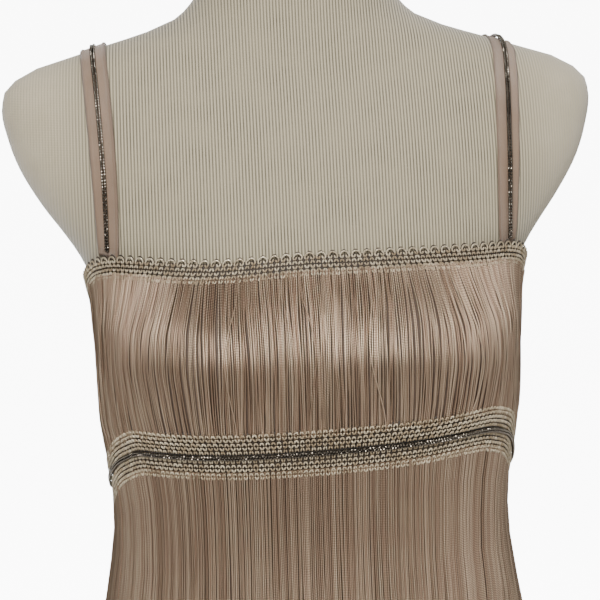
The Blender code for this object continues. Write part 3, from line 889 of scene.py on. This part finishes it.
def make_fringe(settings):
    """Both tiers of cords, front and back, each of an under layer, a face layer and a few stray cords."""
    for side in SIDES:
        for tier, line, top, foot, segments in (
            ("bodice", NECK, NECK_BRAID_HEIGHT - 3 * MM, bodice_foot, 18),
            ("skirt", WAIST, BAND_HEIGHT - 3 * MM, skirt_foot, 26),
        ):
            seed = 11 + len(side) * 7 + len(tier)
            pitch, radius = settings.cord_pitch, settings.cord_width / 2
            layers = []
            for number, layer in enumerate(CORD_LAYERS):
                spaced = pitch * layer.spacing
                made = cord_layer(
                    side, line, top, foot, spaced, radius,
                    layer.out, layer.loose, seed + number, segments, layer.only,
                )
                layers.append(made)
            piece = joined(f"{tier}_cords_{side}", layers, [once(cord_material)] * 3)
            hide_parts(f"{tier}_fringe_{side}")


def knitted(side, line, rows, pitch, size, seed, phase=0.0):
    """Rows of V stitches along a line. Each row gives how far it lies below the line and its depth out."""
    generator = np.random.default_rng(seed)
    lengths, turns = WRAP.paced(line, *SIDES[side])
    count = int(lengths[-1] / pitch)
    meshes = []
    for row in rows:
        mesh, number, local = spread(stitch_pattern(size.width, size.height, size.depth, row.lean), count)
        wobble = generator.uniform(-0.12, 0.12, (3, count)) * MM
        scale = generator.uniform(0.88, 1.1, count)[number]
        arcs = (number + 0.5 + phase) * lengths[-1] / count + local[:, 0] * scale + wobble[0][number]
        turned = np.interp(arcs, lengths, turns)
        heights = line(turned) - row.below + local[:, 2] * scale + wobble[1][number]
        set_vertices(mesh, WRAP.lay(turned, heights, row.out + local[:, 1] + wobble[2][number]))
        shade = generator.uniform(0, 1, count)[number]
        set_vectors(mesh, "strand", np.column_stack([shade, local[:, 2], local[:, 0] / size.width]))
        meshes.append(mesh)
    return meshes


Row = namedtuple("Row", "below out lean")
Stitch = namedtuple("Stitch", "width height depth")


def ground_shell(name, side, line, upper, lower, columns=150):
    """The knitted ground behind a braid's stitches, which carries the painted shade of the gaps between
    them.
    """
    start, end = (math.radians(turn) for turn in SIDES[side])

    def place(across, down):
        turned = start + (end - start) * across
        return WRAP.lay(turned, line(turned) - upper + (upper - lower) * down, BRAID_GROUND_INNER)

    mesh = shell(name, columns, 8, place, BRAID_GROUND_THICKNESS)
    set_vectors(mesh, "strand", np.zeros((len(mesh.vertices), 3)))
    return mesh


def make_neck_braid(settings):
    """The scalloped braid at the neckline: two rows of stitches, a groove and two more rows."""
    pitch = settings.stitch_pitch
    size = Stitch(3.3 * MM, 2.3 * MM, 1.2 * MM)
    rows = [
        Row(4.3 * MM, 0.1 * MM, 0.5),
        Row(6.7 * MM, 0.2 * MM, -0.5),
        Row(9.5 * MM, 0.2 * MM, 0.5),
        Row(11.9 * MM, 0.1 * MM, -0.5),
        Row(14.3 * MM, -0.2 * MM, 0.35),
    ]
    for side in SIDES:
        stitches = knitted(side, NECK, rows, pitch, size, 31 + len(side))
        lengths, turns = WRAP.paced(NECK, *SIDES[side])
        count = int(lengths[-1] / (2 * pitch))
        loops, number, local = spread(scallop_pattern(5.6 * MM, 2.9 * MM, 0.5 * MM), count)
        arcs = (number + 0.5) * lengths[-1] / count + local[:, 0]
        turned = np.interp(arcs, lengths, turns)
        before = NECK(turned) - 3.9 * MM + local[:, 2]
        set_vertices(loops, WRAP.lay(turned, before, -0.1 * MM + local[:, 1]))
        shade = np.random.default_rng(5).uniform(0.3, 1, count)[number]
        set_vectors(loops, "strand", np.column_stack([shade, local[:, 2], local[:, 0] * 200]))
        # Painted shadow: a dark copy of the scallop loops, set behind them and reaching a little higher, in
        # the braid's ground knit.
        shadow_loops = loops.copy()
        arcs = (number + 0.5) * lengths[-1] / count + local[:, 0] * 0.8
        turned = np.interp(arcs, lengths, turns)
        behind = NECK(turned) - 3.4 * MM + local[:, 2] * 1.15
        set_vertices(shadow_loops, WRAP.lay(turned, behind, -1.3 * MM + local[:, 1]))
        ground = ground_shell("neck_ground", side, NECK, 2.6 * MM, NECK_BRAID_HEIGHT + 0.9 * MM)
        piece = joined(
            f"neck_braid_knit_{side}",
            [ground, shadow_loops, loops, *stitches],
            [braid_ground()] * 2
            + [once(braid_material)] * (1 + len(stitches)),
        )
        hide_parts(f"neck_braid_{side}")


def make_waist_braids(settings):
    """The two braids either side of the waist chain, with their looped edges towards it."""
    pitch = settings.stitch_pitch * 0.97
    size = Stitch(3.2 * MM, 2.6 * MM, 1.3 * MM)
    for side in SIDES:
        for level, sign in (("upper", -1), ("lower", 1)):
            rows = [
                Row(sign * 3.0 * MM, 0.35 * MM, sign * 0.3),
                Row(sign * 5.9 * MM, 0.6 * MM, sign * -0.5),
                Row(sign * 8.8 * MM, 0.6 * MM, sign * 0.5),
                Row(sign * 11.7 * MM, 0.55 * MM, sign * -0.5),
                Row(sign * 14.4 * MM, 0.3 * MM, sign * 0.4),
            ]
            stitches = knitted(side, WAIST, rows, pitch, size, 53 + sign, phase=0.25 * sign)
            near, far = sorted((sign * 0.4 * MM, sign * (BAND_HEIGHT + 1.9 * MM)))
            ground = ground_shell("waist_ground", side, WAIST, near, far)
            piece = joined(
                f"waist_braid_knit_{level}_{side}",
                [ground, *stitches],
                [braid_ground()]
                + [once(braid_material)] * len(stitches),
            )
            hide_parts(f"waist_braid_{level}_{side}")


def make_waist_chain(settings):
    """Two staggered rows of beads over the joint of the waist braids, all round."""
    size = settings.bead_size
    lengths, turns = WRAP.paced(WAIST, -90.0, 270.0)
    count = int(lengths[-1] / size)
    meshes = []
    for row, (below, phase) in enumerate(((-0.45, 0.0), (0.45, 0.5))):
        mesh, number, local = spread(bead_pattern(size * 0.5), count)
        generator = np.random.default_rng(71 + row)
        spin = generator.uniform(0, math.tau, count)[number]
        x = local[:, 0] * np.cos(spin) - local[:, 2] * np.sin(spin)
        z = local[:, 0] * np.sin(spin) + local[:, 2] * np.cos(spin)
        turned = np.interp((number + phase) * lengths[-1] / count + x, lengths, turns)
        heights = WAIST(turned) - below * size + z
        set_vertices(mesh, WRAP.lay(turned, heights, 1.7 * MM + local[:, 1]))
        meshes.append(mesh)
    piece = joined("waist_bead_chain", meshes, [once(bead_material)] * 2)
    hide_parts("waist_chain")


def make_slip(settings):
    """The plain slip under the fringe, coloured dark brown as painted shade in the gaps between the cords.
    """
    for side in SIDES:
        start, end = (math.radians(turn) for turn in SIDES[side])

        def bodice_place(across, up):
            turned = start + (end - start) * across
            low, high = WAIST(turned), NECK(turned) - SCALLOP_HEIGHT
            return WRAP.lay(turned, low + (high - low) * up, SLIP_INNER)

        def skirt_place(across, up):
            turned = start + (end - start) * across
            heights = SLIP_HEM_HEIGHT + (WAIST(turned) - SLIP_HEM_HEIGHT) * up
            sunk = np.zeros_like(turned)
            for fold in FOLDS:
                away = (np.degrees(turned) - fold.turn) / fold.width
                begun = ramp(heights, fold.top, fold.top - 0.12)
                ended = ramp(heights, fold.foot - 0.02, fold.foot + 0.05)
                sunk += fold.depth * MM * np.exp(-away * away) * (begun * ended)
            return WRAP.lay(turned, heights, SLIP_INNER - sunk)

        for part, place, rows in (("bodice", bodice_place, 20), ("skirt", skirt_place, 40)):
            mesh = shell(f"slip_{part}", 60, rows, place, SLIP_THICKNESS)
            # Painted shade: the slip's dark brown stands in for the shade between the cords.
            piece = joined(
                f"slip_{part}_{side}",
                [mesh],
                [once(knit_material, "slip_knit", (0.075, 0.047, 0.03), (0.17, 0.115, 0.078), 0.9 * MM)],
            )
            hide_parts(f"{part}_{side}")


def strap_path():
    """Dense points, normals and lengths along the middle of the +X strap."""
    stations = strap_stations()
    points = np.array([station[0][:] for station in stations])
    normals = np.array([station[1][:] for station in stations])
    knots = np.concatenate([[0], np.cumsum(np.linalg.norm(np.diff(points, axis=0), axis=1))])
    fine = np.linspace(0, knots[-1], 400)

    def eased(values):
        """Cubic curve through the stations."""
        slopes = np.gradient(values, knots, axis=0)
        at = np.clip(np.searchsorted(knots, fine, side="right") - 1, 0, len(knots) - 2)
        span = (knots[at + 1] - knots[at])[:, None]
        part = ((fine - knots[at]) / (knots[at + 1] - knots[at]))[:, None]
        return (
            values[at] * (1 + 2 * part) * (1 - part) ** 2
            + slopes[at] * span * part * (1 - part) ** 2
            + values[at + 1] * part**2 * (3 - 2 * part)
            + slopes[at + 1] * span * part**2 * (part - 1)
        )

    points, normals = eased(points), eased(normals)
    normals /= np.linalg.norm(normals, axis=1, keepdims=True)
    lengths = np.concatenate([[0], np.cumsum(np.linalg.norm(np.diff(points, axis=0), axis=1))])
    along = np.gradient(points, lengths, axis=0)
    across = np.cross(along, normals)
    across /= np.linalg.norm(across, axis=1, keepdims=True)
    return lengths, points, normals, across


def on_strap(path, side, lengthwise, sideways, outs):
    """Points at lengths along a strap, moved sideways and out."""
    lengths, points, normals, across = path
    blend = [
        np.column_stack([np.interp(lengthwise, lengths, table[:, axis]) for axis in range(3)])
        for table in (points, normals, across)
    ]
    laid = blend[0] + blend[1] * outs[:, None] + blend[2] * sideways[:, None]
    return laid * np.array([side, 1, 1])


def make_straps(settings):
    """The two satin straps with their chains of paired beads."""
    path = strap_path()
    total = path[0][-1]
    size = settings.bead_size
    for name, side in (("right", -1), ("left", 1)):

        def place(across, along):
            sideways = (across - 0.5) * STRAP_WIDTH
            rolled = 0.55 * MM * np.exp(-(((np.abs(across - 0.5) - 0.44) / 0.04) ** 2))
            puckers = 0.12 * MM * np.sin(along * total / (3.1 * MM) + across * 5)
            return on_strap(path, side, along * total, sideways, STRAP_EASE + rolled + puckers)

        mesh = shell("strap", 18, 130, place, STRAP_THICKNESS)
        bm = sheet_grid(18, 130)
        flat = np.array([vertex.co[:2] for vertex in bm.verts])
        bm.free()
        nearest = np.tile(flat, (2, 1))[: len(mesh.vertices)]
        # Painted shade: how much the satin darkens towards its rolled edges.
        edge = ramp(np.abs(nearest[:, 0] - 0.5), 0.38, 0.5) * 0.75
        strands = np.column_stack([nearest[:, 0] * STRAP_WIDTH, nearest[:, 1] * total, edge])
        set_vectors(mesh, "strand", strands)
        piece = joined(f"strap_satin_{name}", [mesh], [once(satin_material)])
        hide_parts(f"strap_{name}")

        count = int((total - 8 * MM) / size)
        rows = []
        for row, across in enumerate((-0.5, 0.5)):
            beads, number, local = spread(bead_pattern(size * 0.5), count)
            spin = np.random.default_rng(90 + row + side).uniform(0, math.tau, count)[number]
            x = local[:, 0] * np.cos(spin) - local[:, 2] * np.sin(spin)
            z = local[:, 0] * np.sin(spin) + local[:, 2] * np.cos(spin)
            lengthwise = 4.4 * MM + (number + 0.5) * size + z
            out = STRAP_EASE + STRAP_THICKNESS + 0.9 * MM + local[:, 1]
            set_vertices(beads, on_strap(path, side, lengthwise, across * size + x, out))
            rows.append(beads)
        chain = joined(f"strap_bead_chain_{name}", rows, [once(bead_material)] * 2)
        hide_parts(f"strap_chain_{name}")


def make_form_cover(settings):
    """The jersey-covered torso, laid out finely on the form's own sections."""
    columns = 168
    heights = []
    for low, high in zip(FORM_SECTIONS, FORM_SECTIONS[1:]):
        steps = max(1, round((high.height - low.height) / 6))
        heights += [low.height + (high.height - low.height) * step / steps for step in range(steps)]
    heights.append(FORM_SECTIONS[-1].height)
    bm = bmesh.new()
    rings = []
    vectors = []
    for height in heights:
        section = section_at(FORM_SECTIONS, height * MM)
        made = bmesh.ops.create_circle(bm, segments=columns, radius=1.0)["verts"]
        for column, vertex in enumerate(made):
            turn = math.tau * column / columns - math.pi
            vertex.co = on_section(section, turn)
            vectors.append((vertex.co.x, vertex.co.z, float(ramp(abs(vertex.co.x), 0.125, 0.185))))
        rings.append({edge for vertex in made for edge in vertex.link_edges})
    for low, high in zip(rings, rings[1:]):
        bmesh.ops.bridge_loops(bm, edges=list(low | high))
    for end in (rings[0], rings[-1]):
        bmesh.ops.edgeloop_fill(bm, edges=list(end))
    bmesh.ops.recalc_face_normals(bm, faces=bm.faces)
    mesh = meshed("form_cover", bm)
    set_vectors(mesh, "strand", np.array(vectors))
    piece = joined("form_cover", [mesh], [once(jersey_material)])
    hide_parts("form_torso")


def finish_stand(settings):
    """The stand's own solids, with a better steel."""
    for name in ("stand_pole", "stand_base"):
        solid = bpy.data.objects[name]
        for slot in solid.material_slots:
            slot.material = once(steel_material)


def declare_cloth(settings):
    """Works out the neckline and hem lengths of each side and the strap's length, and keeps none of them.
    """
    for side in SIDES:
        lengths, _ = WRAP.paced(NECK, *SIDES[side])
        hem, _ = WRAP.paced(lambda turns: np.full_like(turns, SLIP_HEM_HEIGHT), *SIDES[side])
    length = round(float(strap_path()[0][-1]), 3)


# The stage.

CAMERA_TURN = math.radians(-4.0)
CAMERA_RISE = math.radians(6.0)
CAMERA_ROLL = math.radians(1.6)
CAMERA_DISTANCE = 1.30
CAMERA_AIM = Vector((-0.0027, 0.0, 1.240))
CAMERA_LENS = 112


def make_stage(settings):
    """Pale floor and backdrop, soft lights and the camera."""
    scene = bpy.context.scene
    bm = bmesh.new()
    bmesh.ops.create_grid(bm, x_segments=1, y_segments=1, size=6.0)
    floor = bpy.data.objects.new("floor", meshed("floor", bm))
    floor.data.materials.append(plain_material("pale_floor", (0.86, 0.86, 0.85)))
    floor.location.z = -0.001
    bm = bmesh.new()
    bmesh.ops.create_grid(bm, x_segments=1, y_segments=1, size=1.3)
    bmesh.ops.rotate(bm, matrix=Matrix.Rotation(math.pi / 2, 3, "X"), verts=bm.verts)
    backdrop = bpy.data.objects.new("backdrop", meshed("backdrop", bm))
    backdrop.data.materials.append(plain_material("white_backdrop", (0.9, 0.9, 0.9), 9.0))
    backdrop.location = (0.0, 3.2, 1.0)
    for item in (floor, backdrop):
        scene.collection.objects.link(item)
    for name, place, size, power in (
        ("key", (-0.5, -2.2, 2.35), 0.8, settings.key_power),
        ("fill", (1.9, -1.5, 1.6), 1.6, settings.key_power * 0.22),
        ("top", (0.2, 0.3, 3.2), 1.4, settings.key_power * 0.25),
    ):
        light = bpy.data.lights.new(name, "AREA")
        light.energy = power
        light.size = size
        lamp = bpy.data.objects.new(name, light)
        lamp.location = place
        lamp.rotation_euler = (Vector((0, 0, 1.2)) - Vector(place)).to_track_quat("-Z", "Y").to_euler()
        scene.collection.objects.link(lamp)
    world = bpy.data.worlds.new("studio")
    world.use_nodes = True
    world.node_tree.nodes["Background"].inputs["Color"].default_value = (1.0, 1.0, 1.0, 1.0)
    world.node_tree.nodes["Background"].inputs["Strength"].default_value = 0.10
    scene.world = world
    lens = bpy.data.cameras.new("camera")
    lens.lens = CAMERA_LENS
    lens.sensor_width = 36
    camera = bpy.data.objects.new("camera", lens)
    away = Vector(
        (
            math.sin(CAMERA_TURN) * math.cos(CAMERA_RISE),
            -math.cos(CAMERA_TURN) * math.cos(CAMERA_RISE),
            math.sin(CAMERA_RISE),
        )
    )
    camera.location = CAMERA_AIM + away * CAMERA_DISTANCE
    level = (-away).to_track_quat("-Z", "Y").to_matrix()
    camera.rotation_euler = (level @ Matrix.Rotation(-CAMERA_ROLL, 3, "Z")).to_euler()
    scene.collection.objects.link(camera)
    scene.camera = camera


# The add-on.


class DressSettings(bpy.types.PropertyGroup):
    """Sizes that a user may change before building the dress's looks."""

    cord_pitch: bpy.props.FloatProperty(
        name="Cord pitch",
        description="Distance from one face cord of the fringe to the next",
        default=1.2 * MM,
        unit="LENGTH",
    )
    cord_width: bpy.props.FloatProperty(
        name="Cord width", description="Width of one cord", default=1.1 * MM, unit="LENGTH"
    )
    stitch_pitch: bpy.props.FloatProperty(
        name="Stitch pitch",
        description="Distance from one column of a braid's stitches to the next",
        default=3.7 * MM,
        unit="LENGTH",
    )
    bead_size: bpy.props.FloatProperty(
        name="Bead size", description="Width of one bead of the chains", default=1.95 * MM, unit="LENGTH"
    )
    key_power: bpy.props.FloatProperty(
        name="Key light", description="Power of the key light", default=84.0, unit="POWER"
    )


class DRESS_OT_stage(bpy.types.Operator):
    """Adds the floor, backdrop, lights and camera"""

    bl_idname = "flapper_dress.stage"
    bl_label = "Stage"

    def execute(self, context):
        make_stage(context.scene.flapper_dress)
        return {"FINISHED"}


class DRESS_OT_form_cover(bpy.types.Operator):
    """Covers the form in ribbed jersey"""

    bl_idname = "flapper_dress.form_cover"
    bl_label = "Form cover"

    def execute(self, context):
        make_form_cover(context.scene.flapper_dress)
        return {"FINISHED"}


class DRESS_OT_stand(bpy.types.Operator):
    """Gives the stand its steel"""

    bl_idname = "flapper_dress.stand"
    bl_label = "Stand"

    def execute(self, context):
        finish_stand(context.scene.flapper_dress)
        return {"FINISHED"}


class DRESS_OT_slip(bpy.types.Operator):
    """Builds the plain slip"""

    bl_idname = "flapper_dress.slip"
    bl_label = "Slip"

    def execute(self, context):
        make_slip(context.scene.flapper_dress)
        return {"FINISHED"}


class DRESS_OT_fringe(bpy.types.Operator):
    """Hangs both tiers of cords"""

    bl_idname = "flapper_dress.fringe"
    bl_label = "Fringe"

    def execute(self, context):
        make_fringe(context.scene.flapper_dress)
        return {"FINISHED"}


class DRESS_OT_neck_braid(bpy.types.Operator):
    """Knits the scalloped neck braid"""

    bl_idname = "flapper_dress.neck_braid"
    bl_label = "Neck braid"

    def execute(self, context):
        make_neck_braid(context.scene.flapper_dress)
        return {"FINISHED"}


class DRESS_OT_waist_braids(bpy.types.Operator):
    """Knits the two waist braids"""

    bl_idname = "flapper_dress.waist_braids"
    bl_label = "Waist braids"

    def execute(self, context):
        make_waist_braids(context.scene.flapper_dress)
        return {"FINISHED"}


class DRESS_OT_waist_chain(bpy.types.Operator):
    """Strings the beads round the waist"""

    bl_idname = "flapper_dress.waist_chain"
    bl_label = "Waist chain"

    def execute(self, context):
        make_waist_chain(context.scene.flapper_dress)
        return {"FINISHED"}


class DRESS_OT_straps(bpy.types.Operator):
    """Builds the straps and their chains"""

    bl_idname = "flapper_dress.straps"
    bl_label = "Straps"

    def execute(self, context):
        make_straps(context.scene.flapper_dress)
        return {"FINISHED"}


class DRESS_OT_declare(bpy.types.Operator):
    """Works out the lengths of the cloth pieces and keeps none of them"""

    bl_idname = "flapper_dress.declare"
    bl_label = "Declare cloth"

    def execute(self, context):
        declare_cloth(context.scene.flapper_dress)
        return {"FINISHED"}


OPERATORS = (
    DRESS_OT_stage,
    DRESS_OT_form_cover,
    DRESS_OT_stand,
    DRESS_OT_slip,
    DRESS_OT_fringe,
    DRESS_OT_neck_braid,
    DRESS_OT_waist_braids,
    DRESS_OT_waist_chain,
    DRESS_OT_straps,
    DRESS_OT_declare,
)


class DRESS_PT_panel(bpy.types.Panel):
    """The dress's panel in the 3D view's sidebar."""

    bl_idname = "DRESS_PT_panel"
    bl_label = "Flapper dress"
    bl_space_type = "VIEW_3D"
    bl_region_type = "UI"
    bl_category = "Dress"

    def draw(self, context):
        settings = context.scene.flapper_dress
        for name in ("cord_pitch", "cord_width", "stitch_pitch", "bead_size", "key_power"):
            self.layout.prop(settings, name)
        for made in OPERATORS:
            self.layout.operator(made.bl_idname)


def register():
    for item in (DressSettings, *OPERATORS, DRESS_PT_panel):
        bpy.utils.register_class(item)
    bpy.types.Scene.flapper_dress = bpy.props.PointerProperty(type=DressSettings)


def unregister():
    del bpy.types.Scene.flapper_dress
    for item in (DRESS_PT_panel, *reversed(OPERATORS), DressSettings):
        bpy.utils.unregister_class(item)


def main():
    register()
    for made in OPERATORS:
        name = made.bl_idname.split(".")[1]
        getattr(bpy.ops.flapper_dress, name)()


if __name__ == "__main__":
    main()
